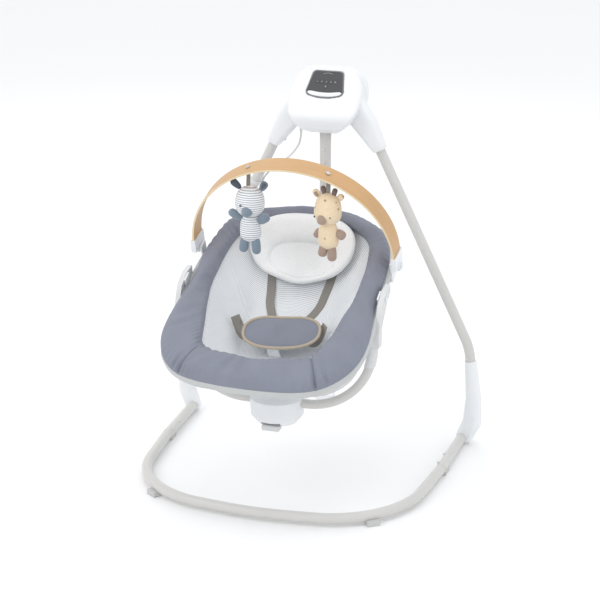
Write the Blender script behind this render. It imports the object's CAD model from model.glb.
import math
import bmesh
import bpy
import numpy as np
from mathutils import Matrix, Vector


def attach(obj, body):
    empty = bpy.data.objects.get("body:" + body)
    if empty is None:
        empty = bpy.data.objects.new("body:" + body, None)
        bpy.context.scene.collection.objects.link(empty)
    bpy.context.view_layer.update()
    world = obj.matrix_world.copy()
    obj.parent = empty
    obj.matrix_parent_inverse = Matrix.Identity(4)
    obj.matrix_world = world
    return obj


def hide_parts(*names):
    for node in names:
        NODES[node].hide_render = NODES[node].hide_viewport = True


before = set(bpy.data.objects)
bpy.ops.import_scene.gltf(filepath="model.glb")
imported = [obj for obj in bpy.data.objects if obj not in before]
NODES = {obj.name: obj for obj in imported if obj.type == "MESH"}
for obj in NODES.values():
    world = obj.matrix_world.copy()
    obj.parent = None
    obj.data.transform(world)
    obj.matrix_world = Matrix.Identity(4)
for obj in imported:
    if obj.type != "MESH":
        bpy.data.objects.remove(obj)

bl_info = {
    "name": "Baby Swing",
    "version": (1, 0, 0),
    "blender": (4, 5, 0),
    "location": "3D View > Sidebar > Baby Swing",
    "description": "Builds the looks of a powered baby swing around its packed frame",
    "category": "Object",
}

MM = 0.001
TAU = 2 * math.pi
X, Y, Z = np.eye(3)


# ---- curves and grids (all lengths in millimetres until a mesh is made) ----
def spline(points, count, closed=False):
    """Cubic through the points, one unit of parameter apart: slopes m solve m[i-1] + 4 m[i] + m[i+1] =
    3 (p[i+1] - p[i-1]), and each span is the Hermite blend of its two ends."""
    p = np.asarray(points, float)
    size = len(p)
    matrix = 4 * np.eye(size) + np.eye(size, k=1) + np.eye(size, k=-1)
    if closed:
        matrix[0, -1] = matrix[-1, 0] = 1
        pull = 3 * (np.roll(p, -1, 0) - np.roll(p, 1, 0))
        t = np.arange(count) / count * size
        last = size - 1
    else:
        matrix[0, 0] = matrix[-1, -1] = 2
        pull = 3 * (p[np.minimum(np.arange(size) + 1, size - 1)] - p[np.maximum(np.arange(size) - 1, 0)])
        t = np.linspace(0, size - 1, count)
        last = size - 2
    slope = np.linalg.solve(matrix, pull)
    i = np.minimum(t.astype(int), last)
    f = (t - i)[:, None]
    j = (i + 1) % size
    return ((1 + 2 * f) * (1 - f) ** 2 * p[i] + f * (1 - f) ** 2 * slope[i]
            + f * f * (3 - 2 * f) * p[j] - f * f * (1 - f) * slope[j])


def rounded(corners, radii, steps=6):
    """Closed plane polygon whose corners are arcs: each arc starts and ends r tan(turn/2) from its corner."""
    p = np.asarray(corners, float)
    back = np.roll(p, 1, 0) - p
    ahead = np.roll(p, -1, 0) - p
    back /= np.linalg.norm(back, axis=1)[:, None]
    ahead /= np.linalg.norm(ahead, axis=1)[:, None]
    half = np.arccos(np.clip((back * ahead).sum(1), -1, 1)) / 2
    r = np.asarray(radii, float)
    middle = back + ahead
    middle /= np.linalg.norm(middle, axis=1)[:, None]
    centre = p + middle * (r / np.sin(half))[:, None]
    start = p + back * (r / np.tan(half))[:, None] - centre
    end = p + ahead * (r / np.tan(half))[:, None] - centre
    sweep = np.arctan2(start[:, 0] * end[:, 1] - start[:, 1] * end[:, 0], (start * end).sum(1))
    angle = sweep[:, None] * np.linspace(0, 1, steps)
    turned = np.stack([start[:, :1] * np.cos(angle) - start[:, 1:] * np.sin(angle),
                       start[:, :1] * np.sin(angle) + start[:, 1:] * np.cos(angle)], -1)
    return (centre[:, None] + turned).reshape(-1, 2)


def evened(curve, count, closed=True):
    """The same line with its points at even distances along it."""
    p = np.concatenate([curve, curve[:1]]) if closed else curve
    far = np.concatenate([[0], np.cumsum(np.linalg.norm(np.diff(p, axis=0), axis=1))])
    at = np.linspace(0, far[-1], count + 1)[:-1] if closed else np.linspace(0, far[-1], count)
    return np.stack([np.interp(at, far, p[:, k]) for k in range(p.shape[1])], -1)


def noise_waves(u, v, seed, count=9, low=1.0, high=4.0):
    """Sum of cosines with seeded directions and phases: smooth bumps of height about one."""
    rng = np.random.default_rng(seed)
    total = np.zeros(np.broadcast(u, v).shape)
    for rate, turn, phase in zip(rng.uniform(low, high, count), rng.uniform(0, TAU, count),
                                 rng.uniform(0, TAU, count)):
        total = total + np.cos(rate * (u * math.cos(turn) + v * math.sin(turn)) + phase)
    return total / math.sqrt(count)


def normals_of(grid, along=False, around=True):
    """Cross product of the two central differences of a grid."""
    def step(axis, wraps):
        if wraps:
            return np.roll(grid, -1, axis) - np.roll(grid, 1, axis)
        return np.gradient(grid, axis=axis)
    n = np.cross(step(0, along), step(1, around))
    return n / np.maximum(np.linalg.norm(n, axis=2), 1e-9)[..., None]


def patch(grid, material, along=False, around=True, caps=True, swap=False):
    """One sheet of a piece: rows run along, columns around, and caps closes its two end rings.
    Its pattern map is in metres along and around."""
    ni, nj = grid.shape[:2]
    i = np.arange(ni if along else ni - 1)
    j = np.arange(nj if around else nj - 1)
    a, b = (m.ravel() for m in np.meshgrid(i, j, indexing="ij"))
    number = lambda p, q: (p % ni) * nj + q % nj
    faces = np.stack([number(a, b), number(a + 1, b), number(a + 1, b + 1), number(a, b + 1)], 1)
    rows = np.concatenate([grid, grid[:1]])
    columns = np.concatenate([grid, grid[:, :1]], axis=1)
    far = np.concatenate([[0], np.cumsum(np.linalg.norm(np.diff(rows, axis=0), axis=2).mean(1))]) * MM
    round_ = np.concatenate([[0], np.cumsum(np.linalg.norm(np.diff(columns, axis=1), axis=2).mean(0))]) * MM
    corner = lambda p, q: np.stack([far[p], round_[q]][::-1 if swap else 1], 1)
    maps = np.stack([corner(a, b), corner(a + 1, b), corner(a + 1, b + 1), corner(a, b + 1)], 1)
    points = grid.reshape(-1, 3)
    faces, maps = faces.tolist(), list(maps)
    if caps and around and not along:
        for row in (0, ni - 1):
            hub = len(points)
            points = np.concatenate([points, grid[row].mean(0, keepdims=True)])
            q = np.arange(nj)
            fan = np.stack([number(np.full(nj, row), q), number(np.full(nj, row), q + 1), np.full(nj, hub)],
                           1)
            faces += fan.tolist()
            maps += list(np.stack([corner(np.full(nj, row), q), corner(np.full(nj, row), q + 1),
                                   corner(np.full(nj, row), q)], 1))
    return {"points": points, "faces": faces, "maps": maps, "material": material}


def face_outwards(mesh):
    """Makes a closed mesh's faces look outwards; its volume, which is then positive, settles any doubt."""
    work = bmesh.new()
    work.from_mesh(mesh)
    bmesh.ops.remove_doubles(work, verts=work.verts, dist=1e-6)
    bmesh.ops.recalc_face_normals(work, faces=work.faces)
    if work.calc_volume(signed=True) < 0:
        bmesh.ops.reverse_faces(work, faces=work.faces)
    work.to_mesh(mesh)
    work.free()


def piece(name, body, patches, hides=(), smooth=50.0):
    """Joins patches into one object, with faces outwards, and ties it to the frame."""
    points, faces, maps, marks, finishes = [], [], [], [], []
    start = 0
    for part in patches:
        if part["material"] not in finishes:
            finishes.append(part["material"])
        points.append(part["points"])
        faces += [[k + start for k in face] for face in part["faces"]]
        maps += part["maps"]
        marks += [finishes.index(part["material"])] * len(part["faces"])
        start += len(part["points"])
    mesh = bpy.data.meshes.new(name)
    mesh.from_pydata((np.concatenate(points) * MM).tolist(), [], faces)
    mesh.uv_layers.new(name="Pattern").data.foreach_set("uv", np.concatenate(maps).ravel())
    mesh.polygons.foreach_set("material_index", marks)
    for finish in finishes:
        mesh.materials.append(bpy.data.materials[LOOK + finish])
    face_outwards(mesh)
    made = bpy.data.objects.new(name, mesh)
    bpy.context.scene.collection.objects.link(made)
    return tie(made, body, hides, smooth)


def tie(made, body, hides=(), smooth=50.0):
    mesh = made.data
    mesh.polygons.foreach_set("use_smooth", np.ones(len(mesh.polygons), bool))
    if smooth < 180:
        mesh.set_sharp_from_angle(angle=math.radians(smooth))
    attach(made, body)
    if hides:
        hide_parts(*hides)
    return made


def carried(path, section, side=None, wide=1.0, thick=1.0):
    """A plane section (columns: sideways, outwards) carried along a path. side gives each row's
    sideways direction, by default level; outwards is at right angles to it and to the path."""
    path = np.asarray(path, float)
    along = np.gradient(path, axis=0)
    along /= np.linalg.norm(along, axis=1)[:, None]
    if side is None:
        side = np.cross(along, Z)
    side = np.broadcast_to(np.asarray(side, float), path.shape)
    side = side - along * (side * along).sum(1)[:, None]
    side = side / np.linalg.norm(side, axis=1)[:, None]
    out = np.cross(side, along)
    wide = np.broadcast_to(wide, len(path))[:, None, None]
    thick = np.broadcast_to(thick, len(path))[:, None, None]
    return (path[:, None] + side[:, None] * section[None, :, :1] * wide
            + out[:, None] * section[None, :, 1:] * thick)


def oval(count, wide=1.0, thick=1.0, power=2.0):
    """Superellipse |x/a|^p + |y/b|^p = 1."""
    angle = np.arange(count) / count * TAU
    c, s = np.cos(angle), np.sin(angle)
    return np.stack([wide * np.sign(c) * np.abs(c) ** (2 / power),
                     thick * np.sign(s) * np.abs(s) ** (2 / power)], 1)


def bulb(start, end, first, second, flat=1.0, power=4.0, bend=(0, 0, 0), side=X, rows=24, count=32):
    """Closed stuffed form: radius (a + (b - a) t) sqrt(1 - |2t - 1|^p) on a bent line from start to end."""
    t = (1 - np.cos(np.linspace(0.02, 1 - 0.02, rows) * math.pi)) / 2
    radius = (first + (second - first) * t) * np.sqrt(1 - np.abs(2 * t - 1) ** power)
    path = (np.asarray(start, float) + (np.asarray(end, float) - np.asarray(start, float)) * t[:, None]
            + np.asarray(bend, float) * (4 * t * (1 - t))[:, None])
    return carried(path, oval(count), side=side, wide=radius, thick=radius * flat)


def turned(profile, centre, axis=Z, count=64):
    """A profile (radius, height) turned about an axis through centre."""
    axis = np.asarray(axis, float)
    first = np.cross(axis, [0.3, 1, 0.2])
    first /= np.linalg.norm(first)
    second = np.cross(axis, first)
    angle = np.arange(count) / count * TAU
    ring = np.cos(angle)[:, None] * first + np.sin(angle)[:, None] * second
    profile = np.asarray(profile, float)
    return np.asarray(centre, float) + profile[:, None, :1] * ring + profile[:, None, 1:] * axis


def softened(node, radius, finish, body, segments=3, name=None):
    """Copy of a moulded part with its doubles merged, flats joined and sharp edges rounded."""
    source = NODES[node]
    mesh = source.data.copy()
    mesh.name = name or node + "_moulding"
    work = bmesh.new()
    work.from_mesh(mesh)
    bmesh.ops.remove_doubles(work, verts=work.verts, dist=1e-5)
    bmesh.ops.dissolve_limit(work, angle_limit=math.radians(0.6), verts=work.verts, edges=work.edges)
    work.to_mesh(mesh)
    work.free()
    made = bpy.data.objects.new(mesh.name, mesh)
    bpy.context.scene.collection.objects.link(made)
    mesh.materials.clear()
    mesh.materials.append(bpy.data.materials[LOOK + finish])
    edge = made.modifiers.new("Rounded edges", "BEVEL")
    edge.width = radius * MM
    edge.segments = segments
    edge.limit_method = "ANGLE"
    edge.angle_limit = math.radians(38)
    edge.use_clamp_overlap = True
    edge.harden_normals = False
    return tie(made, body, [node], smooth=35.0)


# ---- finishes ----
LOOK = "swing_"      # keeps these finishes apart from the packed parts' own materials


def add(tree, kind, settings=None, **sockets):
    """New shader node. Blanks in a socket name are underscores, and a leading one gives its number."""
    made = tree.nodes.new("ShaderNode" + kind)
    for key, value in (settings or {}).items():
        setattr(made, key, value)
    for key, value in sockets.items():
        socket = made.inputs[int(key[1:])] if key[0] == "_" else made.inputs[key.replace("_", " ")]
        if isinstance(value, bpy.types.NodeSocket):
            tree.links.new(value, socket)
        else:
            socket.default_value = value
    return made


def blended(tree, factor, first, second, kind="MIX"):
    return add(tree, "Mix", {"data_type": "RGBA", "blend_type": kind}, _0=factor, _6=first,
               _7=second).outputs[2]


def ranged(tree, value, low, high, to_low, to_high):
    return add(tree, "MapRange", None, Value=value, From_Min=low, From_Max=high, To_Min=to_low,
               To_Max=to_high).outputs[0]


def noise(tree, where, scale, detail=3.0, rough=0.55):
    return add(tree, "TexNoise", None, Vector=where, Scale=scale, Detail=detail, Roughness=rough).outputs[0]


def shade(colour, factor):
    return tuple(min(1.0, c * factor) for c in colour[:3]) + (1.0,)


def begin(name, rough, **sockets):
    """New material; returns its tree, shader and the object and pattern coordinates."""
    made = bpy.data.materials.new(LOOK + name)
    made.use_nodes = True
    tree = made.node_tree
    shader = tree.nodes["Principled BSDF"]
    shader.inputs["Roughness"].default_value = rough
    for key, value in sockets.items():
        shader.inputs[key.replace("_", " ")].default_value = value
    made.diffuse_color = (0.7, 0.7, 0.7, 1)
    where = add(tree, "TexCoord").outputs
    return tree, shader, where["Object"], where["UV"]


def bumped(tree, shader, height, strength, distance, below=None):
    bump = add(tree, "Bump", None, Strength=strength, Distance=distance, Height=height)
    if below:
        tree.links.new(below, bump.inputs["Normal"])
    tree.links.new(bump.outputs[0], shader.inputs["Normal"])
    return bump.outputs[0]


def moulded(name, colour, rough, grain=1400.0, height=0.00004, tint=0.03, **sockets):
    """Moulded, painted or machined surface: fine grain, slow drift of tint, handling marks in the gloss."""
    tree, shader, place, _ = begin(name, rough, **sockets)
    drift = noise(tree, place, 9.0, 2.0)
    fine = noise(tree, place, grain, 2.0)
    tree.links.new(blended(tree, drift, shade(colour, 1 - tint), shade(colour, 1 + tint)),
                   shader.inputs["Base Color"])
    marks = noise(tree, place, 55.0, 6.0, 0.7)
    tree.links.new(ranged(tree, marks, 0.3, 0.75, rough * 0.85, min(1, rough * 1.2)),
                   shader.inputs["Roughness"])
    bumped(tree, shader, fine, 0.6, height)


def weave_of(tree, where, thread):
    """Plain weave: two crossing sine bands, each shown where the other dips."""
    parts = add(tree, "SeparateXYZ", None, Vector=where).outputs
    rate = math.pi / thread
    def band(value):
        wave = add(tree, "Math", {"operation": "SINE"},
                   _0=add(tree, "Math", {"operation": "MULTIPLY"}, _0=value, _1=rate).outputs[0])
        return wave.outputs[0]
    one, two = band(parts[0]), band(parts[1])
    both = add(tree, "Math", {"operation": "MULTIPLY"}, _0=one, _1=two).outputs[0]
    return both


def cloth(name, colour, thread=0.0009, melange=0.22, height=0.00016, rough=0.88, stripe=None, sheen=0.08):
    """Woven cloth on the pattern map: weave bumps, flecked yarn, slow fading, worn lighter ridges; stripe adds
    fine lines (colour, pitch, share) across the pattern's first direction."""
    tree, shader, place, where = begin(name, rough, Sheen_Weight=sheen, Sheen_Roughness=0.5)
    both = weave_of(tree, where, thread)
    stretched = add(tree, "Mapping", None, Vector=where, Scale=(1.0, 6.0, 1.0)).outputs[0]
    yarn = noise(tree, stretched, 900.0, 2.0)
    crossed = add(tree, "Mapping", None, Vector=where, Scale=(6.0, 1.0, 1.0)).outputs[0]
    weft = noise(tree, crossed, 900.0, 2.0)
    flecks = add(tree, "Math", {"operation": "MULTIPLY"}, _0=yarn, _1=weft).outputs[0]
    level = ranged(tree, flecks, 0.12, 0.42, 0.0, 1.0)
    base = blended(tree, level, shade(colour, 1 - melange), shade(colour, 1 + melange))
    fade = noise(tree, place, 14.0, 3.0)
    base = blended(tree, ranged(tree, fade, 0.3, 0.7, 0.0, 0.55), base, shade(colour, 1.12), "MIX")
    if stripe:
        tone, pitch, share = stripe
        parts = add(tree, "SeparateXYZ", None, Vector=where).outputs
        wave = add(tree, "Math", {"operation": "PINGPONG"}, _0=parts[0], _1=pitch / 2).outputs[0]
        line = ranged(tree, wave, pitch * share * 0.5, pitch * (share * 0.5 + 0.1), 1.0, 0.0)
        worn = add(tree, "Math", {"operation": "MULTIPLY"}, _0=line,
                   _1=ranged(tree, yarn, 0.3, 0.7, 0.75, 1.0)).outputs[0]
        base = blended(tree, worn, base, tone)
    tree.links.new(base, shader.inputs["Base Color"])
    tree.links.new(ranged(tree, yarn, 0.3, 0.7, rough - 0.06, rough + 0.05), shader.inputs["Roughness"])
    soft = bumped(tree, shader, noise(tree, place, 160.0, 4.0), 0.35, 0.0012)
    bumped(tree, shader, both, 0.7, height, soft)


def plush(name, colour, scale=420.0, depth=0.0012, spots=None, stripe=None, tint=0.06):
    """Short pile: clumped noise in height and tint, soft sheen; spots and stripes sit on object place."""
    tree, shader, place, _ = begin(name, 0.95, Sheen_Weight=0.45, Sheen_Roughness=0.6)
    pile = noise(tree, place, scale, 5.0, 0.65)
    base = blended(tree, ranged(tree, pile, 0.3, 0.7, 0, 1), shade(colour, 1 - tint * 1.6),
                   shade(colour, 1 + tint))
    if stripe:
        tone, pitch, share = stripe
        ruffled = add(tree, "Math", {"operation": "MULTIPLY_ADD"}, _0=noise(tree, place, 60.0),
                      _1=pitch * 0.35,
                      _2=add(tree, "SeparateXYZ", None, Vector=place).outputs[2]).outputs[0]
        wave = add(tree, "Math", {"operation": "PINGPONG"}, _0=ruffled, _1=pitch / 2).outputs[0]
        base = blended(tree, ranged(tree, wave, pitch * share * 0.5, pitch * (share * 0.5 + 0.12), 1.0, 0.0),
                       base, tone)
    if spots:
        tone, pitch, size = spots
        cells = add(tree, "TexVoronoi", {"feature": "F1"}, Vector=place, Scale=1 / pitch,
                    Randomness=0.75).outputs[0]
        base = blended(tree, ranged(tree, cells, size, size + 0.07, 0.8, 0.0), base, tone)
    tree.links.new(base, shader.inputs["Base Color"])
    tree.links.new(ranged(tree, pile, 0.3, 0.7, 0.88, 1.0), shader.inputs["Roughness"])
    bumped(tree, shader, pile, 0.8, depth)


def webbing(name, colour):
    """Narrow woven tape: ribs across, three thick cords along, fuzzed yarn tint."""
    tree, shader, _, where = begin(name, 0.85, Sheen_Weight=0.15)
    both = weave_of(tree, where, 0.0014)
    yarn = noise(tree, where, 1300.0, 3.0)
    base = blended(tree, ranged(tree, both, -1, 1, 0, 1), shade(colour, 0.82), shade(colour, 1.1))
    base = blended(tree, ranged(tree, yarn, 0.3, 0.7, 0, 0.35), base, shade(colour, 1.3))
    tree.links.new(base, shader.inputs["Base Color"])
    tree.links.new(ranged(tree, yarn, 0.3, 0.7, 0.78, 0.92), shader.inputs["Roughness"])
    bumped(tree, shader, both, 0.9, 0.00035)


def beech(name, colour, edge):
    """Bent veneer: long grain and short flecks along the pattern's first direction, pale plies at edges."""
    tree, shader, _, where = begin(name, 0.42, Coat_Weight=0.15, Coat_Roughness=0.3)
    long_ = add(tree, "Mapping", None, Vector=where, Scale=(2.2, 90.0, 1.0)).outputs[0]
    grain = noise(tree, long_, 5.0, 6.0, 0.62)
    fleck_place = add(tree, "Mapping", None, Vector=where, Scale=(70.0, 700.0, 1.0)).outputs[0]
    fleck = noise(tree, fleck_place, 3.0, 1.0)
    base = blended(tree, ranged(tree, grain, 0.32, 0.68, 0, 1), shade(colour, 0.86), shade(colour, 1.1))
    base = blended(tree, ranged(tree, fleck, 0.66, 0.74, 0.0, 0.45), base, shade(colour, 0.62))
    slow = noise(tree, where, 7.0, 2.0)
    base = blended(tree, ranged(tree, slow, 0.35, 0.65, 0, 0.35), base, shade(colour, 1.16))
    plies = add(tree, "VertexColor", {"layer_name": "edge"}).outputs[0]
    ply = blended(tree, ranged(tree, grain, 0.35, 0.65, 0, 1), shade(edge, 0.9), shade(edge, 1.06))
    base = blended(tree, plies, base, ply)
    tree.links.new(base, shader.inputs["Base Color"])
    tree.links.new(ranged(tree, grain, 0.3, 0.7, 0.36, 0.52), shader.inputs["Roughness"])
    bumped(tree, shader, grain, 0.25, 0.00015)


class SwingColours(bpy.types.PropertyGroup):
    def tone(name, description, default):
        return bpy.props.FloatVectorProperty(name=name, description=description, subtype="COLOR", size=3,
                                             min=0, max=1, default=default)

    rim: tone("Rim cloth", "Blue-grey cloth of the padded rim", (0.225, 0.240, 0.292))
    liner: tone("Liner cloth", "White knit of the seat liner", (0.86, 0.875, 0.885))
    pillow: tone("Plush", "White plush of the head pillow", (0.86, 0.87, 0.875))
    tape: tone("Webbing", "Taupe webbing of the harness", (0.27, 0.255, 0.23))
    piping: tone("Piping", "Beige binding of the crotch pad", (0.47, 0.40, 0.31))
    wood: tone("Beech", "Face of the toy arch", (0.55, 0.325, 0.14))
    wood_edge: tone("Beech edge", "Ply edge of the toy arch", (0.78, 0.64, 0.42))
    plastic: tone("White plastic", "Housing, hub and cups", (0.80, 0.815, 0.83))
    grey: tone("Light grey plastic", "Side rails and trim", (0.66, 0.665, 0.665))
    enamel: tone("Tube enamel", "Painted steel tubes", (0.60, 0.59, 0.57))


class SwingSizes(bpy.types.PropertyGroup):
    def length(name, description, default):
        return bpy.props.FloatProperty(name=name, description=description, subtype="DISTANCE", unit="LENGTH",
                                       min=0, default=default)

    wrinkle: length("Wrinkles", "Height of the rim's gathers", 0.0036)
    stripe: length("Stripe pitch", "Distance between the liner's stripes", 0.0036)
    cord: length("Cord", "Diameter of the mains lead", 0.005)
    camera: length("Camera distance", "Distance from the camera to the swing's middle", 4.4)


def colours():
    return bpy.context.scene.swing_colours


def sizes():
    return bpy.context.scene.swing_sizes


def make_finishes():
    c = colours()
    moulded("tube_enamel", c.enamel, 0.36, 700.0, 0.00003, 0.02)
    moulded("white_plastic", c.plastic, 0.4, 2600.0, 0.00003, 0.012)
    moulded("grey_plastic", c.grey, 0.48, 2200.0, 0.00004, 0.02)
    moulded("soft_rubber", (0.55, 0.55, 0.54), 0.75, 1200.0, 0.00008, 0.05)
    moulded("panel_gloss", (0.055, 0.055, 0.06), 0.09, 90.0, 0.00001, 0.1, Coat_Weight=0.5,
            Coat_Roughness=0.03)
    moulded("panel_trim", (0.20, 0.20, 0.21), 0.3, 1500.0, 0.00002, 0.05, Metallic=0.6)
    moulded("key_gloss", (0.075, 0.075, 0.08), 0.16, 300.0, 0.00001, 0.08)
    moulded("bright_trim", (0.78, 0.79, 0.80), 0.16, 900.0, 0.00001, 0.02, Coat_Weight=0.5,
            Coat_Roughness=0.05)
    moulded("icon_print", (0.72, 0.73, 0.74), 0.5, 900.0, 0.00001, 0.02)
    moulded("zinc_steel", (0.60, 0.60, 0.60), 0.32, 420.0, 0.00003, 0.08, Metallic=1.0)
    moulded("board_green", (0.03, 0.16, 0.07), 0.45, 300.0, 0.00005, 0.2)
    moulded("black_plastic", (0.03, 0.03, 0.032), 0.5, 1600.0, 0.00004, 0.1)
    moulded("acetal", (0.80, 0.79, 0.74), 0.38, 900.0, 0.00003, 0.02)
    moulded("cord_vinyl", (0.70, 0.70, 0.68), 0.4, 800.0, 0.00004, 0.02)
    cloth("rim_cloth", c.rim, 0.0010, 0.2, 0.00018)
    cloth("under_cloth", (0.52, 0.53, 0.53), 0.0011, 0.06, 0.00016)
    cloth("liner_cloth", c.liner, 0.0009, 0.03, 0.00014, stripe=((0.50, 0.54, 0.59, 1), sizes().stripe, 0.26))
    cloth("pad_cloth", c.rim, 0.0010, 0.2, 0.00018)
    cloth("binding", c.piping, 0.0008, 0.1, 0.00014)
    plush("white_plush", c.pillow)
    plush("striped_plush", (0.88, 0.89, 0.90), 700.0, 0.0006, stripe=((0.33, 0.37, 0.42, 1), 0.0052, 0.26))
    plush("slate_plush", (0.185, 0.245, 0.305), 650.0, 0.0008, tint=0.12)
    plush("dark_plush", (0.075, 0.105, 0.14), 650.0, 0.0008, tint=0.12)
    plush("cream_plush", (0.84, 0.68, 0.46), 520.0, 0.0012, spots=((0.30, 0.15, 0.06, 1), 0.019, 0.13),
          tint=0.1)
    plush("taupe_plush", (0.37, 0.265, 0.205), 650.0, 0.0008, tint=0.1)
    plush("horn_plush", (0.15, 0.105, 0.09), 650.0, 0.0008, tint=0.1)
    plush("thread_dark", (0.02, 0.018, 0.018), 900.0, 0.0004)
    webbing("taupe_tape", c.tape)
    beech("beech_veneer", c.wood, c.wood_edge)


NODE_FINISHES = {
    "tube_enamel": ("floor_tube_front", "floor_tube_left", "floor_tube_right", "leg_left", "leg_right",
                    "hanger_upper_tube", "hanger_lower_tube", "cradle_tube"),
    "white_plastic": ("ankle_left", "ankle_right", "housing_front", "housing_rear", "hub_base", "hub_top",
                      "pivot_brackets", "bar_mounts", "bar_cups", "wall_adapter"),
    "grey_plastic": ("tube_buttons", "hanger_buttons", "lead_clip", "pivot_bracket", "release_lever",
                     "side_rail_left", "side_rail_right", "drive_chassis"),
    "soft_rubber": ("front_feet", "rear_feet"),
    "panel_gloss": ("control_panel",),
    "panel_trim": ("panel_frame",),
    "key_gloss": ("key_speed_down", "key_speed_up", "key_melody", "key_volume", "key_timer", "key_power"),
    "zinc_steel": ("arm_screws", "bar_studs", "drive_motor", "swing_axle", "seat_ring"),
    "board_green": ("circuit_board",),
    "black_plastic": ("loudspeaker", "lead_socket"),
    "acetal": ("axle_bearings", "motor_pinion", "drive_gear"),
    "cord_vinyl": ("lead_plug",),
}


def finish_nodes():
    for finish, names in NODE_FINISHES.items():
        for name in names:
            for place in NODES[name].material_slots:
                place.material = bpy.data.materials[LOOK + finish]


# ---- mains lead ----
LEAD_ROUTE = [(-70, 310, 786), (-71, 310, 764), (-83, 311, 741), (-104, 313, 717), (-132, 317, 696),
              (-158, 320, 676), (-177, 322, 652), (-184, 323, 620), (-183, 325, 572), (-181, 329, 515),
              (-180, 333, 452), (-180, 336, 388), (-179, 338, 322), (-180, 339, 256), (-182, 340, 192),
              (-185, 340, 130), (-187, 340, 78), (-187, 343, 38), (-186, 356, 10), (-185, 378, 3)]
TAIL_ROUTE = [(-150, 434.6, 7.8), (-132, 437, 5.2), (-116, 446, 4.4), (-103, 458, 7), (-88, 464, 12)]
COIL_CENTRE = (-152, 402)
COIL_TURNS = 5.25


def coil_points():
    """Coil of slowly changing radius and height: three turns inwards, then two above them outwards."""
    turn = np.arange(1, int(COIL_TURNS * 12)) / 12
    radius = np.interp(turn, [0, 0.85, 1.0, 1.85, 2.0, 3.0, 3.9, 4.05, 4.9, 5.05],
                       [32.6, 32.6, 27.5, 27.5, 22.4, 22.4,
                                                                                 22.4, 27.5, 27.5, 32.6])
    height = np.interp(turn, [0, 2.72, 3.0, 5.25], [2.7, 2.7, 7.9, 7.9])
    angle = math.pi - turn * TAU
    return np.stack([COIL_CENTRE[0] + radius * np.cos(angle), COIL_CENTRE[1] + radius * np.sin(angle),
                     height], 1)


def make_lead():
    data = bpy.data.curves.new("mains_lead", "CURVE")
    data.dimensions = "3D"
    line = data.splines.new("NURBS")
    points = np.concatenate([LEAD_ROUTE, coil_points(), TAIL_ROUTE]) * MM
    line.points.add(len(points) - 1)
    line.points.foreach_set("co", np.column_stack([points, np.ones(len(points))]).ravel())
    line.order_u = 3
    line.use_endpoint_u = True
    line.resolution_u = 8
    data.bevel_depth = sizes().cord / 2
    data.bevel_resolution = 5
    data.use_fill_caps = True
    data.materials.append(bpy.data.materials[LOOK + "cord_vinyl"])
    lead = bpy.data.objects.new("mains_lead", data)
    bpy.context.scene.collection.objects.link(lead)
    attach(lead, "stand")
    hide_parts("lead_cord", "lead_coil", "lead_tail")
    relief = turned([(0.3, 1), (2.9, 0), (3.3, 3), (3.1, 6), (3.9, 9), (3.6, 12), (4.6, 15), (4.4, 18),
                     (5.4, 22),
                     (5.6, 28), (4.8, 31), (0.3, 31.5)], (-70, 310, 784.5), count=32)
    made = piece("lead_relief", "stand", [patch(relief, "cord_vinyl")], ["lead_plug"])


# ---- stage ----
CAMERA_PLACE = (1.2478, -3.8814, 1.8494)
CAMERA_AIM = (0.0, 0.088, 0.42045)


def make_stage():
    scene = bpy.context.scene
    data = bpy.data.cameras.new("camera")
    data.lens = 107.84
    data.sensor_width = 36.0
    data.shift_x = -0.0021
    data.clip_end = 50
    camera = bpy.data.objects.new("camera", data)
    camera.location = CAMERA_PLACE
    camera.rotation_euler = (Vector(CAMERA_AIM) - Vector(CAMERA_PLACE)).to_track_quat("-Z", "Y").to_euler()
    scene.collection.objects.link(camera)
    scene.camera = camera
    for name, place, aim, size, power, tint in (
            ("key_light", (-2.4, -2.6, 3.4), (0, 0, 0.5), 1.6, 34, (1.0, 0.985, 0.96)),
            ("fill_light", (3.2, -2.2, 2.0), (0, 0, 0.5), 2.4, 8, (0.95, 0.975, 1.0)),
            ("top_light", (0.3, 0.4, 3.8), (0, 0, 0.4), 2.4, 20, (1.0, 1.0, 1.0)),
            ("back_light", (-1.2, 3.4, 2.4), (0, 0, 0.6), 2.0, 10, (1.0, 1.0, 1.0))):
        lamp = bpy.data.lights.new(name, "AREA")
        lamp.energy = power
        lamp.size = size
        lamp.color = tint
        made = bpy.data.objects.new(name, lamp)
        made.location = place
        made.rotation_euler = (Vector(aim) - Vector(place)).to_track_quat("-Z", "Y").to_euler()
        scene.collection.objects.link(made)
    world = bpy.data.worlds.new("studio")
    world.use_nodes = True
    world.node_tree.nodes["Background"].inputs[0].default_value = (0.97, 0.98, 1.0, 1)
    world.node_tree.nodes["Background"].inputs[1].default_value = 1.0
    scene.world = world
    scene.view_settings.view_transform = "Standard"
    reach = np.linspace(-1, 1, 9)
    a, b = np.meshgrid(reach * 9000, reach * 9000, indexing="ij")
    grid = np.stack([a, b, np.full_like(a, -0.4)], -1)
    part = patch(grid, "studio_floor", around=False)
    tree, shader, place, _ = begin("studio_floor", 0.9)
    cloudy = noise(tree, place, 0.6, 2.0)
    tree.links.new(blended(tree, cloudy, (0.93, 0.93, 0.93, 1), (0.95, 0.95, 0.95, 1)),
                   shader.inputs["Base Color"])
    mesh = bpy.data.meshes.new("studio_floor")
    mesh.from_pydata((part["points"] * MM).tolist(), [], part["faces"])
    mesh.materials.append(bpy.data.materials[LOOK + "studio_floor"])
    floor = bpy.data.objects.new("studio_floor", mesh)
    scene.collection.objects.link(floor)


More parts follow.
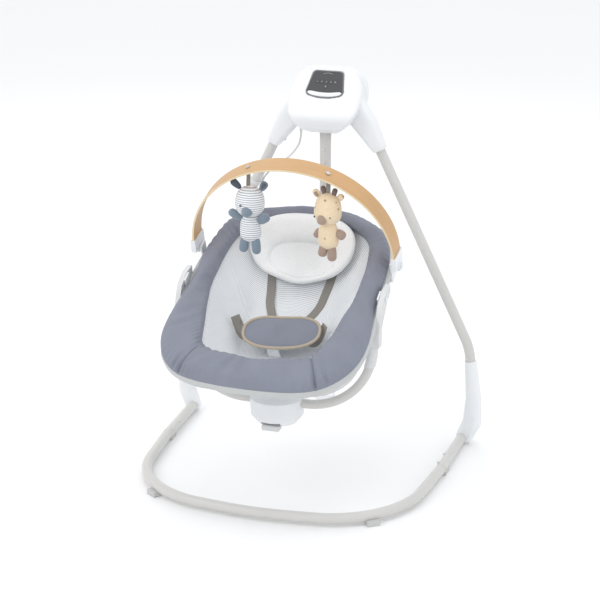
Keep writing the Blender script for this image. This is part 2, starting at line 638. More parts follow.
# ---- motor housing ----
SIDE_CORNERS = [(266, 798), (234, 811), (224, 845), (246, 868), (324, 951), (348, 950), (359.4, 926),
                (359.4, 794),
                (352, 787)]
SIDE_RADII = [16, 13, 24, 60, 46, 11, 12, 5, 5]
HALF_WIDTHS = [(26, 786), (42, 800), (58, 814), (73, 829), (84, 846), (90, 866), (92, 886), (90, 905),
               (84, 922),
               (74, 935), (60, 945), (42, 951.2)]
SPLIT_Y = 322.0
HOUSING_ROWS = 220


def half_width(z):
    fine = spline(HALF_WIDTHS, 200)
    return np.interp(z, fine[:, 1], fine[:, 0])


def shell(low_y, high_y, split, hub_z, bow, edge=8.0, across=41):
    """Housing half between two depths: its side profile is swept across, bowed back by bow (x/w)^2.2 in front.
    At each side the profile shrinks towards a hub on the split plane by edge (1 - cos t) while it moves out by
    edge sin t, and then closes as a flat cheek; its distance from the middle is the half width at its height."""
    outline = evened(rounded(SIDE_CORNERS, SIDE_RADII, 10), 1500)
    outline = evened(outline[(outline[:, 0] >= low_y) & (outline[:, 0] <= high_y)], HOUSING_ROWS)
    hub = np.array([split, hub_z])
    turn = np.linspace(0, math.pi / 2, 8)[1:]
    rows = [(s, 0.0, 1.0) for s in np.linspace(-1, 1, across)]
    side = [(1.0, edge * math.sin(t), 1 - edge * (1 - math.cos(t)) / 60) for t in turn]
    side += [(1.0, edge, k) for k in (0.78, 0.66, 0.5, 0.3, 0.12)]
    rows = [(-s, -over, k) for s, over, k in reversed(side)] + rows + side
    sheets = []
    for s, over, k in rows:
        y, z = (hub + (outline - hub) * k).T
        wide = half_width(z)
        x = s * (wide - edge) + over
        front = np.clip((split - y) / 40.0, 0, 1)
        sheets.append(np.stack([x, y + bow * (np.abs(x) / 90.0) ** 2.2 * front, z], 1))
    return np.stack(sheets)


PANEL_CENTRE = np.array([0.0, 291.0, 913.5])
PANEL_TILT = math.radians(49.0)
PANEL_CORNERS = [(-50, -28), (0, -40), (50, -28), (39, 40), (-39, 40)]
PANEL_RADII = [14, 100, 14, 13, 13]


def on_panel(flat, height):
    """Moves panel coordinates (across, up the slope, height off it) to the housing."""
    flat = np.asarray(flat, float)
    up = np.array([0, math.cos(PANEL_TILT), math.sin(PANEL_TILT)])
    out = np.array([0, -math.sin(PANEL_TILT), math.cos(PANEL_TILT)])
    return PANEL_CENTRE + flat[..., :1] * X + flat[..., 1:2] * up + np.asarray(height)[..., None] * out


def panel_outline(grow, count=96):
    corners = np.array(PANEL_CORNERS, float)
    corners += np.sign(corners) * grow
    corners[1] = (0, -40 - grow)
    return evened(rounded(corners, np.array(PANEL_RADII) + grow * 0.6, 12), count)


RIM_DROP, PANEL_SINK, BLEND_REACH = 0.5, 7.0, 18.0
ARM_SLOT = ((-37.6, 271.5, 780), (37.6, 306.5, 815))


def seat_panel(grid):
    """Flattens the cover round the panel to just under the panel's rim, and sinks it below the glass."""
    up = np.array([0, math.cos(PANEL_TILT), math.sin(PANEL_TILT)])
    out = np.array([0, -math.sin(PANEL_TILT), math.cos(PANEL_TILT)])
    away = grid - PANEL_CENTRE
    across, along, height = away[..., 0], away @ up, away @ out
    ring = panel_outline(0.0, 160)
    gap = np.full(across.shape, np.inf)
    inside = np.zeros(across.shape, bool)
    for (x1, y1), (x2, y2) in zip(ring, np.roll(ring, -1, 0)):
        gap = np.minimum(gap, np.hypot(across - x1, along - y1))
        if y1 != y2:
            inside ^= ((y1 > along) != (y2 > along)) & (across < (x2 - x1) * (along - y1) / (y2 - y1) + x1)
    level = np.where(inside, -RIM_DROP - PANEL_SINK * np.clip(gap / 3, 0, 1), -RIM_DROP)
    share = np.where(inside, 1.0, np.clip((BLEND_REACH - gap) / (BLEND_REACH - 3), 0, 1))
    share = share ** 2 * (3 - 2 * share) * (np.abs(height) < 20)
    return grid + ((level - height) * share)[..., None] * out


def open_slot(made):
    """Leaves the cover open underneath, where the pendulum arm swings."""
    (low_x, low_y, low_z), (high_x, high_y, high_z) = ARM_SLOT
    work = bmesh.new()
    work.from_mesh(made.data)
    gone = []
    for face in work.faces:
        x, y, z = face.calc_center_median() / MM
        if low_x < x < high_x and low_y < y < high_y and low_z < z < high_z:
            gone.append(face)
    bmesh.ops.delete(work, geom=gone, context="FACES")
    work.to_mesh(made.data)
    work.free()


def arm_rows(side):
    """Arm loft: superellipse sections down the leg's line, wider towards the housing on both edges."""
    along = np.array([0.4364, 0, -0.8997])
    out = np.array([0.8997, 0, 0.4364])
    top = np.array([118.5, 300.0, 797.0])
    s = np.array([-92, -80, -66, -50, -30, -12, 4, 18, 30, 38, 42, 44, 44.6])
    outer = np.interp(s, [-92, -30, 44.6], [13, 23, 17.6])
    inner = np.interp(s, [-112, -60, 0, 44.6], [60, 46, 28.5, 16.6])
    deep = np.interp(s, [-112, 44.6], [24.5, 19.5])
    pinch = np.interp(s, [-112, 40, 43, 44.6], [1, 1, 0.97, 0.9])
    ring = oval(48, power=3.4)
    half = ((outer + inner) / 2 * pinch)[:, None]
    mid = ((outer - inner) / 2)[:, None]
    offset = ring[None, :, 0] * half + mid
    grid = top + s[:, None, None] * along + offset[...,
                                                   None] * out + (ring[None, :, 1]
                                                                  * (deep * pinch)[:, None])[..., None] * Y
    grid[..., 0] *= side
    return grid


KEY_SPOTS = {"key_speed_down": (-2, 8.0), "key_speed_up": (-1, 8.0), "key_melody": (0, 8.0),
             "key_volume": (1, 8.0), "key_timer": (2, 8.0), "key_power": (0, -5.0)}
KEY_PITCH = 11.6
ICON_HEIGHT = 0.96


def stroke(points, width=0.42, closed=False):
    """Raised printed line: a flat ribbon of even width along plane points on a key."""
    p = np.asarray(points, float)
    tangent = (np.roll(p, -1, 0) - np.roll(p, 1, 0)) if closed else np.gradient(p, axis=0)
    tangent /= np.linalg.norm(tangent, axis=1)[:, None]
    side = np.stack([-tangent[:, 1], tangent[:, 0]], 1) * width / 2
    edges = np.stack([p - side, p + side], 1)
    low = on_panel(edges, np.full(edges.shape[:2], ICON_HEIGHT - 0.1))
    high = on_panel(edges, np.full(edges.shape[:2], ICON_HEIGHT))
    ring = np.concatenate([low, high[:, ::-1]], axis=1)
    return patch(ring, "icon_print", along=closed)


def arc(centre, radius, start, end, count=18):
    angle = np.radians(np.linspace(start, end, count))
    return np.stack([centre[0] + radius * np.cos(angle), centre[1] + radius * np.sin(angle)], 1)


def icons():
    """Plain signs: minus, plus, a note, a wedge with waves, a clock and a power ring."""
    spot = {name: np.array([column * KEY_PITCH, height]) for name, (column, height) in KEY_SPOTS.items()}
    line = lambda name, *ends: stroke(np.linspace(spot[name] + ends[0], spot[name] + ends[1], 3))
    bow = lambda name, centre, radius, a, b: stroke(arc(spot[name] + centre, radius, a, b))
    return {
        "key_speed_down": [line("key_speed_down", (-1.7, 0), (1.7, 0))],
        "key_speed_up": [line("key_speed_up", (-1.7, 0), (1.7, 0)),
                         line("key_speed_up", (0, -1.7), (0, 1.7))],
        "key_melody": [bow("key_melody", (-0.7, -1.3), 0.55, 0, 340),
                       line("key_melody", (-0.15, -1.2), (-0.15, 1.9)),
                       line("key_melody", (-0.15, 1.9), (1.3, 1.2))],
        "key_volume": [line("key_volume", (-1.6, 0), (-0.4, 1.5)),
                       line("key_volume", (-1.6, 0), (-0.4, -1.5)),
                       line("key_volume", (-0.4, -1.5), (-0.4, 1.5)), bow("key_volume", (-0.4, 0), 1.5, -50,
                                                                          50)],
        "key_timer": [stroke(arc(spot["key_timer"], 1.9, 0, 342, 24), closed=False),
                      line("key_timer", (0, 0), (0, 1.3)), line("key_timer", (0, 0), (0.9, 0))],
        "key_power": [bow("key_power", (0, 0), 1.9, 120, 420), line("key_power", (0, 0.3), (0, 2.4))],
    }


def make_housing():
    low_y = SPLIT_Y + 0.7
    cover = seat_panel(shell(200, SPLIT_Y, SPLIT_Y, 868, 15.0, across=91))
    front = piece("housing_cover", "stand", [patch(cover, "white_plastic")],
                  ["housing_front"], smooth=40)
    open_slot(front)
    piece("housing_back", "stand",
          [patch(shell(low_y, 400, low_y, 868, 0.0), "white_plastic")], ["housing_rear"], smooth=40)
    piece("housing_arms", "stand",
          [patch(arm_rows(side), "white_plastic") for side in (1, -1)], smooth=40)
    piece("panel_lip", "stand", [patch(panel_lip(), "bright_trim")])
    for name, signs in icons().items():
        piece(name + "_icon", name + "_cap", signs)
    piece("panel_speed_arc", "stand", [stroke(arc((0, 9), 24, 62, 118, 20), 0.5)])


def panel_lip():
    """Rounded bar across the lower part of the panel: a D-shaped section carried from side to side."""
    s = np.linspace(-1, 1, 33)
    path = on_panel(np.stack([s * 43.5, -22.0 - 6.5 * (1 - np.abs(s) ** 2.2) + 1.0], 1), np.full(33, 0.2))
    wide = 5.4 * (1 - np.abs(s) ** 6) ** 0.5 + 0.5
    return carried(path, oval(24, 1.0, 1.0), side=np.array([0, math.cos(PANEL_TILT), math.sin(PANEL_TILT)]),
                   wide=wide, thick=wide * 0.42)


# ---- seat ----
TILT = math.radians(25.25)
SEAT_PIVOT = np.array([0, -62.0, 492.0])
ACROSS = X
SLOPE = np.array([0, math.cos(TILT), math.sin(TILT)])
OUT = np.array([0, -math.sin(TILT), math.cos(TILT)])


def on_seat(x, s, n):
    """Seat coordinates (across, up the slope, out of the seat) to the row frame."""
    x, s, n = np.broadcast_arrays(x, s, n)
    return SEAT_PIVOT + x[..., None] * ACROSS + s[..., None] * SLOPE + n[..., None] * OUT


OUTER = [(0, -318), (95, -313), (165, -295), (212, -256), (242, -190), (245, -110), (233, -35), (229, 45),
         (228, 115), (211, 200), (166, 252), (95, 284), (0, 296)]
INNER = [(0, -230), (75, -222), (129, -203), (147, -163), (158, -112), (170, -55), (179, 0), (180, 50),
         (178, 105), (170, 168), (146, 214), (88, 248), (0, 261)]
BAND = [(0, -317), (95, -312), (165, -294), (212, -256), (241, -190), (247, -110), (243, -35), (241, 45),
        (235, 115), (211, 200), (166, 252), (95, 284), (0, 296)]
RIM_SECTION = [(0.0, -6), (0.005, 3), (0.06, 11), (0.18, 17.5), (0.36, 21.3), (0.55, 21.3), (0.73, 18.2),
               (0.87, 12), (0.96, 4.5), (1.0, -2), (0.985, -8), (0.9, -12), (0.6, -13.5), (0.3, -12.5), (0.08,
                                                                                                         -11)]
BAND_SECTION = [(2, -5), (-1.5, -13), (0, -23), (5.5, -32), (14, -39.5), (24, -41.5), (33, -40), (39.5, -34),
                (41, -25), (37, -16), (22, -10), (9, -7)]
AROUND = 480


def full_ring(half, count=AROUND):
    """Closed smooth line from the foot round the right side, mirrored from a right half, foot to head."""
    half = np.array(half, float)
    return spline(np.concatenate([half, half[-2:0:-1] * [-1, 1]]), count, closed=True)


MITRE = 2.0 / 24


def rim_grid():
    """Padded ring: a closed section between the inner and outer outlines; its height is pinched along the two
    mitre seams and gathered by short waves that fade away from the seams and edges."""
    outer, inner = full_ring(OUTER), full_ring(INNER)
    section = spline(RIM_SECTION, 72, closed=True)
    c, n = section[None, :, 0], section[None, :, 1] * np.ones((AROUND, 1))
    u = (np.arange(AROUND) / AROUND)[:, None]
    flat = inner[:, None] + (outer - inner)[:, None] * section[None, :, :1]
    seam = np.minimum(np.abs(u - MITRE), np.abs(u - 1 + MITRE)) * 1900
    head_seam = np.minimum(np.abs(u - 0.372), np.abs(u - 0.628)) * 1900
    top = np.clip((n + 8) / 16, 0, 1)
    pinch = 5.5 * np.exp(-(seam / 2.6) ** 2) + 2.2 * np.exp(-(seam / 12) ** 2)
    pinch = pinch + 2.5 * np.exp(-(head_seam / 2.6) ** 2)
    height = sizes().wrinkle / MM
    near_seam = np.exp(-(seam / 60) ** 2) + 0.6 * np.exp(-(head_seam / 70) ** 2)
    gathers = np.sin(u * 520 + 3.0 * np.sin(u * 37)) * np.exp(-((c - 0.02) / 0.22) ** 2)
    outer_gathers = np.sin(u * 610 + 2.4 * np.sin(u * 53) + 1.0) * np.exp(-((c - 0.98) / 0.2) ** 2)
    strength = 0.22 + near_seam
    slow = noise_waves(u * 60, c * 4, 7, 10, 0.6, 2.2)
    creases = np.sin(u * 260 + c * 3 + 2 * noise_waves(u * 30, c * 2, 3)) * np.clip(noise_waves(u * 22, c * 2,
                                                                                                11), 0, 1.4)
    lift = height * (strength * (gathers * 0.8 + outer_gathers * 0.9) + 0.75 * slow + 0.55 * creases)
    n = n + top * (lift - pinch)
    swell = 1.2 * noise_waves(u * 25, c, 21) * np.exp(-((c - 1.0) / 0.15) ** 2)
    x = flat[..., 0] * (1 + swell * 0.0025)
    s = flat[..., 1] * (1 + swell * 0.002)
    return on_seat(x, s, n)


def band_grid():
    """Grey under-cover: a closed section, measured inwards from its outline, carried round the seat."""
    ring = full_ring(BAND)
    tangent = np.roll(ring, -1, 0) - np.roll(ring, 1, 0)
    tangent /= np.linalg.norm(tangent, axis=1)[:, None]
    inward = np.stack([-tangent[:, 1], tangent[:, 0]], 1)
    section = spline(BAND_SECTION, 40, closed=True)
    u = (np.arange(AROUND) / AROUND)[:, None]
    ruffle = 0.8 * noise_waves(u * 120, section[None, :, 0] * 0.08, 5, 9, 0.8, 2.6)
    room = np.linalg.norm(full_ring(OUTER) - full_ring(INNER), axis=1)[:, None] - 4
    depth = section[None, :, 0] * np.minimum(1, room / 41) + ruffle * (section[None, :, 1] < -12)
    flat = ring[:, None] + inward[:, None] * depth[..., None]
    return on_seat(flat[..., 0], flat[..., 1], section[None, :, 1] * np.ones((AROUND, 1)))


# liner rows: scale of the inner outline, shift up the slope, height
LINER_ROWS = [(1.035, 0, -9), (1.02, 0, -13), (0.985, 2, -20), (0.9, -8, -38), (0.8, -22, -58),
              (0.7, -36, -78),
              (0.6, -50, -95), (0.53, -60, -103), (0.42, -62, -106.5), (0.28, -62, -107), (0.14, -62, -107),
              (0.02, -62, -107)]
LINER_COUNT = 90


def liner_point(u, v):
    """Inner surface of the bucket: u goes round from the foot, v from the rim (0) to the floor (1)."""
    ring = full_ring(INNER, 960)
    rows = spline(LINER_ROWS, 400)
    angle = np.asarray(u) % 1.0 * 960
    pick = lambda k: np.interp(angle, np.arange(961), np.append(ring[:, k], ring[0, k]))
    at = np.clip(np.asarray(v), 0, 1) * 399
    row = lambda k: np.interp(at, np.arange(400), rows[:, k])
    return pick(0) * row(0), pick(1) * row(0) + row(1), row(2)


LINER_SEAMS = (0.335, 0.665, 0.085, 0.915)


def liner_grid():
    """Bucket of cloth: seams where the side panels meet the back and the foot, soft dents elsewhere, and a
    second surface 3 mm outside it, joined over the rim."""
    u = (np.arange(360) / 360)[None, :] * np.ones((LINER_COUNT, 1))
    v = np.linspace(0, 1, LINER_COUNT)[:, None] * np.ones((1, 360))
    x, s, n = liner_point(u, v)
    wide = np.hypot(x, s + 40) / 150
    seam = sum(np.exp(-((u - at) * 1100 * wide / 2.2) ** 2) for at in LINER_SEAMS)
    beside = sum(np.exp(-((u - at) * 1100 * wide / 16) ** 2) for at in LINER_SEAMS)
    fade = np.clip(np.minimum(v / 0.06, (0.93 - v) / 0.1), 0, 1)
    quilt = 1.3 * noise_waves(u * 40, v * 9, 31, 12, 0.7, 2.4) + 1.4 * beside - 2.6 * seam
    inner = on_seat(x, s, n)
    normal = normals_of(inner)
    if (normal[5, :, 2].mean()) < 0:
        normal = -normal
    inner = inner + normal * (quilt * fade)[..., None]
    outer = on_seat(x, s, n) - normal * 3.2
    return np.concatenate([outer[::-1], inner])


def strap_rows(us, vs, lift, count=40):
    """Line on the liner through (u, v) stations, lifted off it."""
    at = spline(np.column_stack([us, vs]), count)
    x, s, n = liner_point(at[:, 0], at[:, 1])
    return np.stack([x, s, n + lift], 1)


def tape(points, width, side, thick=1.5, finish="taupe_tape"):
    """Flat woven tape with rounded edges carried along seat-frame points."""
    p = on_seat(points[:, 0], points[:, 1], points[:, 2])
    section = np.stack([oval(20, width / 2, thick / 2, 5.0)[:, 0], oval(20, width / 2, thick / 2, 5.0)[:, 1]],
                       1)
    return patch(carried(p, section, side=side), finish)


PILLOW_MIDDLE = (-5.0, 186.0, -33.0)   # across, up the slope, out of the seat
PILLOW_HALF = (133.0, 92.0)
PILLOW_RISE = math.radians(27.5)
DISH_EDGE = 0.6


def pillow_grid():
    """Head pillow: rings of a superellipse with a scalloped lower edge. Inside DISH_EDGE the surface is a shallow
    bowl, low in the pillow; a crease runs round it, and outside it a stuffed roll rises and falls to the seam."""
    rows, count = 72, 200
    r = np.linspace(0.01, 1, rows)[:, None]
    a = (np.arange(count) / count * TAU)[None, :]
    power = 2.2
    c, s = np.cos(a), np.sin(a)
    rim_x = PILLOW_HALF[0] * np.sign(c) * np.abs(c) ** (2 / power)
    rim_y = PILLOW_HALF[1] * np.sign(s) * np.abs(s) ** (2 / power)
    low = np.clip(-s, 0, 1)
    rim_y = rim_y * (1 + 0.02 * low * np.cos(a * 8)) + 3 * low
    dish_x, dish_y = 0.62 * rim_x + 4, 0.52 * rim_y - 30
    over = np.clip((r - DISH_EDGE) / (1 - DISH_EDGE), 0, 1)
    share = np.clip(r / DISH_EDGE, 0, 1)
    x = np.where(r < DISH_EDGE, 4 + (dish_x - 4) * share, dish_x + (rim_x - dish_x) * over)
    y = np.where(r < DISH_EDGE, -30 + (dish_y + 30) * share, dish_y + (rim_y - dish_y) * over)
    stuffing = 8 + 7 * np.clip(s, 0, 1) + 3 * np.abs(c)
    roll = stuffing * np.clip(1 - np.abs(2 * over - 1) ** 2.6, 0, 1) ** 0.55
    bowl = -3.0 + 8.0 * share ** 2.2 - 3.5 * np.exp(-((share - 1) / 0.06) ** 2)
    height = np.where(r < DISH_EDGE, bowl, 1.5 + roll)
    height = height + 1.3 * noise_waves(x / 26, y / 26, 17) * np.clip(1.1 - over ** 4, 0, 1)
    under_rows = np.linspace(1, 0.01, 14)[:, None]
    under = np.stack([rim_x * under_rows, rim_y * under_rows, -5.0 * (1 - under_rows ** 5) * np.ones_like(a)],
                     -1)
    form = np.concatenate([np.stack([x, y, height], -1), under])
    up, out = form[..., 1], form[..., 2]
    bowed = 16.0 * (form[..., 0] / PILLOW_HALF[0]) ** 2
    return on_seat(PILLOW_MIDDLE[0] + form[..., 0],
                   PILLOW_MIDDLE[1] + up * math.cos(PILLOW_RISE) - out * math.sin(PILLOW_RISE),
                   PILLOW_MIDDLE[2] + up * math.sin(PILLOW_RISE) + out * math.cos(PILLOW_RISE) + bowed)


PAD_MIDDLE = np.array([13.0, -78.0])
PAD_TURN = math.radians(6.0)


def pad_rim(grow=0.0, count=120):
    """Outline of the crotch pad in the seat frame: a superellipse with a slight waist at its upper edge."""
    a = np.arange(count) / count * TAU
    flat = oval(count, 92 + grow, 48 + grow, 2.5)
    flat[:, 1] -= 4 * np.exp(-((a - math.pi / 2) / 0.35) ** 2)
    c, s = math.cos(PAD_TURN), math.sin(PAD_TURN)
    return flat @ np.array([[c, s], [-s, c]]) + PAD_MIDDLE


def pad_height(flat):
    return -60 + 0.00045 * (flat[..., 0] - PAD_MIDDLE[0]) ** 2 + 0.10 * (flat[..., 1] - PAD_MIDDLE[1])


def make_seat():
    rim = piece("rim_cover", "seat", [patch(rim_grid(), "rim_cloth", along=True)], ["rim_pad"],
                smooth=180)
    under = piece("seat_undercover", "seat", [patch(band_grid(), "under_cloth", along=True)],
                  smooth=180)
    liner = piece("seat_bucket", "seat", [patch(liner_grid(), "liner_cloth")], ["seat_liner"],
                  smooth=180)
    pillow = piece("head_cushion", "seat", [patch(pillow_grid(), "white_plush")], ["head_pillow"],
                   smooth=180)
    edge = spline(pad_rim(), 200, closed=True)
    binding = on_seat(edge[:, 0], edge[:, 1], pad_height(edge) + 1.5)
    tube = carried_ring(binding, oval(16, 3.6, 3.6))
    piece("crotch_binding", "seat", [patch(tube, "binding", along=True)], smooth=180)
    pad = piece("crotch_cushion", "seat",
                [patch(pad_grid(), "pad_cloth"), patch(pad_stem(), "liner_cloth")],
                ["crotch_pad"], smooth=180)
    straps = []
    for side in (1, -1):
        line = strap_rows([0.5 - side * 0.045, 0.5 - side * 0.052, 0.5 - side * 0.058, 0.5 - side * 0.070],
                          [0.3, 0.42, 0.56, 0.8], 2.2)
        straps.append(tape(line, 21, ACROSS))
    piece("shoulder_tapes", "seat", straps, ["shoulder_straps"], smooth=60)
    waist = []
    for side in (-1, 1):
        line = spline([(side * 112, -46, -52), (side * 104, -56, -66), (side * 94, -66, -72),
                       (side * 82, -72, -68),
                       (side * 66, -74, -63)], 30)
        waist.append(tape(line, 24, SLOPE * 0.8 + OUT * 0.6))
        loop = spline([(side * 108, -52, -58), (side * 101, -66, -76), (side * 90, -76, -86),
                       (side * 78, -80, -80)], 24)
        waist.append(tape(loop, 18, SLOPE * 0.6 + OUT * 0.8))
    piece("waist_tapes", "seat", waist, ["waist_straps"], smooth=60)


def carried_ring(path, section):
    """Section carried round a closed path, with its second direction along the seat's normal."""
    along = np.roll(path, -1, 0) - np.roll(path, 1, 0)
    along /= np.linalg.norm(along, axis=1)[:, None]
    side = np.cross(along, OUT)
    side /= np.linalg.norm(side, axis=1)[:, None]
    out = np.cross(side, along)
    return path[:, None] + side[:, None] * section[None, :, :1] + out[:, None] * section[None, :, 1:]


def pad_grid():
    """Crowned oval pad: rings shrink to its middle while the height rises as (1 - r^3)."""
    edge = spline(pad_rim(-1.5), 160, closed=True)
    middle = PAD_MIDDLE
    rows = []
    for r in np.linspace(0.02, 1, 26):
        flat = middle + (edge - middle) * r
        rows.append((flat, pad_height(flat) + 1.0 + 8.5 * (1 - r ** 3.2) + 0.7
                     * noise_waves(flat[:, 0] / 22, flat[:, 1] / 22, 41)))
    for r in np.linspace(1, 0.02, 10):
        flat = middle + (edge - middle) * r
        rows.append((flat, pad_height(flat) - 3.0 * (1 - r ** 4)))
    return np.stack([on_seat(flat[:, 0], flat[:, 1], height) for flat, height in rows])


def pad_stem():
    """Strap-like root of the pad that drops from its lower edge to the liner's floor."""
    line = spline([(0, -100, -60), (0, -112, -66), (0, -117, -82), (0, -116, -98), (0, -112, -107)], 30)
    return carried(on_seat(line[:, 0], line[:, 1], line[:, 2]), oval(24, 15, 3.0, 4.0), side=ACROSS)


# ---- toy arch ----
LEAN = math.radians(16.0)
ARCH_FOOT = np.array([0, 40.0, 571.0])
ARCH_SPAN, ARCH_RISE, ARCH_WIDE, ARCH_THICK = 253.0, 229.0, 56.0, 5.7


def on_arch(points):
    """Arch coordinates (across, along the lean, up) to the row frame."""
    x, y, z = np.moveaxis(np.asarray(points, float), -1, 0)
    return ARCH_FOOT + np.stack([x, y * math.cos(LEAN) - z * math.sin(LEAN),
                                 y * math.sin(LEAN) + z * math.cos(LEAN)], -1)


def make_arch():
    t = np.linspace(0, math.pi, 181)
    mid_a, mid_b = ARCH_SPAN - ARCH_THICK / 2, ARCH_RISE - ARCH_THICK / 2
    x = np.concatenate([[mid_a, mid_a], mid_a * np.cos(t), [-mid_a, -mid_a]])
    z = np.concatenate([[-3.9, -2.0], mid_b * np.sin(t), [-2.0, -3.9]])
    path = np.stack([x, np.zeros_like(x), z], 1)
    tangent = np.gradient(path, axis=0)
    tangent /= np.linalg.norm(tangent, axis=1)[:, None]
    outward = np.stack([-tangent[:, 2], np.zeros(len(x)), tangent[:, 0]], 1) * -1
    section = oval(56, ARCH_WIDE / 2, ARCH_THICK / 2, 16.0)
    grid = path[:, None] + section[None, :, :1] * Y + outward[:, None] * section[None, :, 1:]
    made = piece("arch_wood", "play_arch", [patch(on_arch(grid), "beech_veneer")], ["toy_bar"],
                 smooth=40)
    mesh = made.data
    layer = mesh.color_attributes.new("edge", "FLOAT_COLOR", "CORNER")
    face_of = np.repeat(np.arange(len(mesh.polygons)), [p.loop_total for p in mesh.polygons])
    normal = np.empty(len(mesh.polygons) * 3)
    mesh.polygons.foreach_get("normal", normal)
    lean_y = np.array([0, math.cos(LEAN), math.sin(LEAN)])
    sideways = np.abs(normal.reshape(-1, 3) @ lean_y) > 0.75
    value = sideways[face_of].astype(float)
    layer.data.foreach_set("color", np.stack([value, value, value, np.ones_like(value)], 1).ravel())


# ---- toys ----
HOOKS = {-1: np.array([-98, -15.8, 765.6]), 1: np.array([98, -15.8, 765.6])}


def loop_strap(hook, finish="taupe_tape"):
    line = hook + spline([(0, 0, -1), (0.4, 0.5, -14), (0, 0, -28), (0, 0, -42)], 16)
    return patch(carried(line, oval(16, 5.0, 0.9, 5.0), side=X), finish)


def form(hook, start, end, first, second, finish, **more):
    return patch(bulb(hook + start, hook + end, first, second, **more), finish)


FACE_TURN = math.radians(18.0)      # the striped toy's face, towards +X


def make_striped():
    h = HOOKS[-1] + [4, 0, 0]
    parts = [loop_strap(HOOKS[-1])]
    look = lambda x, y: (x * math.cos(FACE_TURN) - y * math.sin(FACE_TURN),
                         x * math.sin(FACE_TURN) + y * math.cos(FACE_TURN))
    parts += [
        form(h, (1, 1, -36), (-1, -3, -112), 34.5, 37, "striped_plush", flat=0.82, power=2.6, rows=40,
             count=56),
        form(h, (-1, 0, -106), (1, 2, -174), 22, 28.5, "striped_plush", flat=0.8, power=3.4, rows=36,
             count=48),
        form(h, (*look(-9, -17), -80), (*look(-6, -31), -104), 12, 14.5, "slate_plush", flat=0.85, power=2.8,
             rows=24,
             count=36),
        form(h, (-20, 1, -121), (-50, -8, -98), 8.5, 13.0, "slate_plush", flat=0.75, power=3.2),
        form(h, (20, 1, -126), (47, -8, -103), 9.0, 14.0, "slate_plush", flat=0.75, power=3.2),
        form(h, (-12, -2, -160), (-16, -9, -199), 11, 11.5, "slate_plush", flat=0.85, power=4),
        form(h, (13, -2, -160), (19, -9, -201), 11, 11.5, "slate_plush", flat=0.85, power=4),
        form(h, (-23, 3, -46), (-48, 4, -26), 6.5, 11.0, "dark_plush", flat=0.45, power=3),
        form(h, (25, 3, -48), (39, 4, -25), 7.0, 11.0, "slate_plush", flat=0.45, power=3),
        form(h, (29, -1.5, -42), (38, -1.5, -28), 3.5, 6.5, "dark_plush", flat=0.4, power=3),
    ]
    for x in (-23, 13):
        spot = look(x, -30.5 + abs(x + 5) * 0.22)
        parts.append(form(h, (*spot, -75), (*spot, -81), 2.3, 2.3, "thread_dark", power=2, rows=10, count=14))
    piece("striped_plush_toy", "striped_animal", parts, ["striped_toy"], smooth=180)


def make_spotted():
    h = HOOKS[1] + [-2, 0, 0]
    parts = [loop_strap(HOOKS[1])]
    parts += [
        form(h, (3, 1, -38), (1, -2, -114), 29, 36, "cream_plush", flat=0.8, power=2.8, rows=40, count=56),
        form(h, (2, 0, -104), (4, 2, -176), 22, 27, "cream_plush", flat=0.8, power=3.4, rows=36, count=48),
        form(h, (-6, -18, -84), (-5, -29, -108), 10, 12.5, "taupe_plush", flat=0.8, power=3, rows=24,
             count=36),
        form(h, (-18, 3, -126), (-30, 5, -150), 7, 9.5, "taupe_plush", flat=0.8, power=3),
        form(h, (22, 0, -128), (45, -6, -142), 9, 12.5, "taupe_plush", flat=0.75, power=3),
        form(h, (-6, -3, -160), (-10, -9, -192), 10, 11.5, "taupe_plush", flat=0.85, power=4),
        form(h, (13, -3, -162), (15, -9, -201), 10, 12, "taupe_plush", flat=0.85, power=4),
        form(h, (-20, 3, -50), (-34, 3, -33), 8, 9, "cream_plush", flat=0.5, power=3),
        form(h, (-22, 0, -48), (-31, 0, -37), 4.5, 5, "taupe_plush", flat=0.5, power=3),
        form(h, (26, 3, -54), (37, 3, -40), 8, 8, "cream_plush", flat=0.5, power=3),
        form(h, (-6, 2, -44), (-12, 1, -22), 6.0, 6.8, "horn_plush", flat=0.9, power=4),
        form(h, (14, 2, -46), (20, 1, -26), 6.0, 6.8, "horn_plush", flat=0.9, power=4),
    ]
    for x in (-24, 14):
        parts.append(form(h, (x, -26.5 + abs(x + 5) * 0.15, -88), (x, -27.5 + abs(x + 5) * 0.15, -93), 1.9,
                          1.9, "thread_dark",
                          power=2, rows=10, count=14))
    piece("spotted_plush_toy", "spotted_animal", parts, ["spotted_toy"], smooth=180)


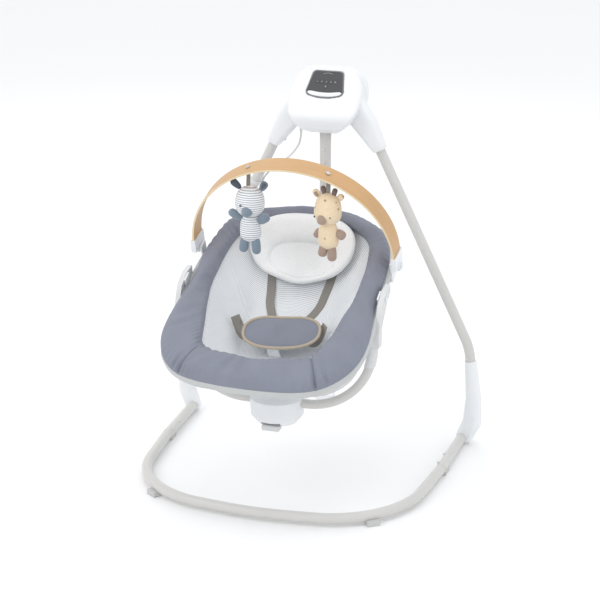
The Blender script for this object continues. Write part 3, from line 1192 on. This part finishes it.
def make_mouldings():
    for node, radius, slot, body in (
            ("hub_base", 2.5, "white_plastic", "hanger"), ("hub_top", 2.5, "white_plastic", "turntable"),
            ("side_rail_left", 1.6, "grey_plastic", "turntable"), ("side_rail_right", 1.6, "grey_plastic",
                                                                   "turntable"),
            ("bar_cups", 2.0, "white_plastic", "play_arch"), ("bar_mounts", 1.2, "white_plastic", "seat"),
            ("pivot_brackets", 1.2, "white_plastic", "seat"), ("wall_adapter", 1.5, "white_plastic", "stand"),
            ("release_lever", 0.8, "grey_plastic", "lever")):
        softened(node, radius, slot, body)


def operator(name, label, words, action):
    """Operator class that runs one maker and lets its errors through."""
    def execute(self, context):
        action()
        return {"FINISHED"}
    return type("SWING_OT_" + name, (bpy.types.Operator,), {
        "bl_idname": "swing." + name, "bl_label": label, "__doc__": words, "execute": execute})


OPERATORS = [
    operator("finishes", "Finishes", "Makes every material and gives the frame's nodes theirs",
             lambda: (make_finishes(), finish_nodes())),
    operator("stage", "Stage", "Adds the camera, lights and floor", make_stage),
    operator("lead", "Mains lead", "Lays the mains lead and its coil", make_lead),
    operator("housing", "Motor housing", "Builds the housing's shells, arms and panel details", make_housing),
    operator("seat", "Seat", "Builds the rim, liner, pillow and harness", make_seat),
    operator("arch", "Toy arch", "Bends the wooden arch", make_arch),
    operator("striped", "Striped toy", "Sews the striped animal", make_striped),
    operator("spotted", "Spotted toy", "Sews the spotted animal", make_spotted),
    operator("mouldings", "Mouldings", "Rounds the edges of hub, rails, cups and brackets", make_mouldings),
]


class SWING_PT_parts(bpy.types.Panel):
    bl_label = "Baby Swing"
    bl_space_type = "VIEW_3D"
    bl_region_type = "UI"
    bl_category = "Baby Swing"

    def draw(self, context):
        for made in OPERATORS:
            self.layout.operator(made.bl_idname)
        for group in (context.scene.swing_colours, context.scene.swing_sizes):
            for name in group.bl_rna.properties.keys():
                if name not in ("rna_type", "name"):
                    self.layout.prop(group, name)


CLASSES = [SwingColours, SwingSizes, *OPERATORS, SWING_PT_parts]


def register():
    for made in CLASSES:
        bpy.utils.register_class(made)
    bpy.types.Scene.swing_colours = bpy.props.PointerProperty(type=SwingColours)
    bpy.types.Scene.swing_sizes = bpy.props.PointerProperty(type=SwingSizes)


def unregister():
    del bpy.types.Scene.swing_colours
    del bpy.types.Scene.swing_sizes
    for made in reversed(CLASSES):
        bpy.utils.unregister_class(made)


def main():
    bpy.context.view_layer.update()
    register()
    for made in OPERATORS:
        getattr(bpy.ops.swing, made.bl_idname.split(".")[1])()


if __name__ == "__main__":
    main()
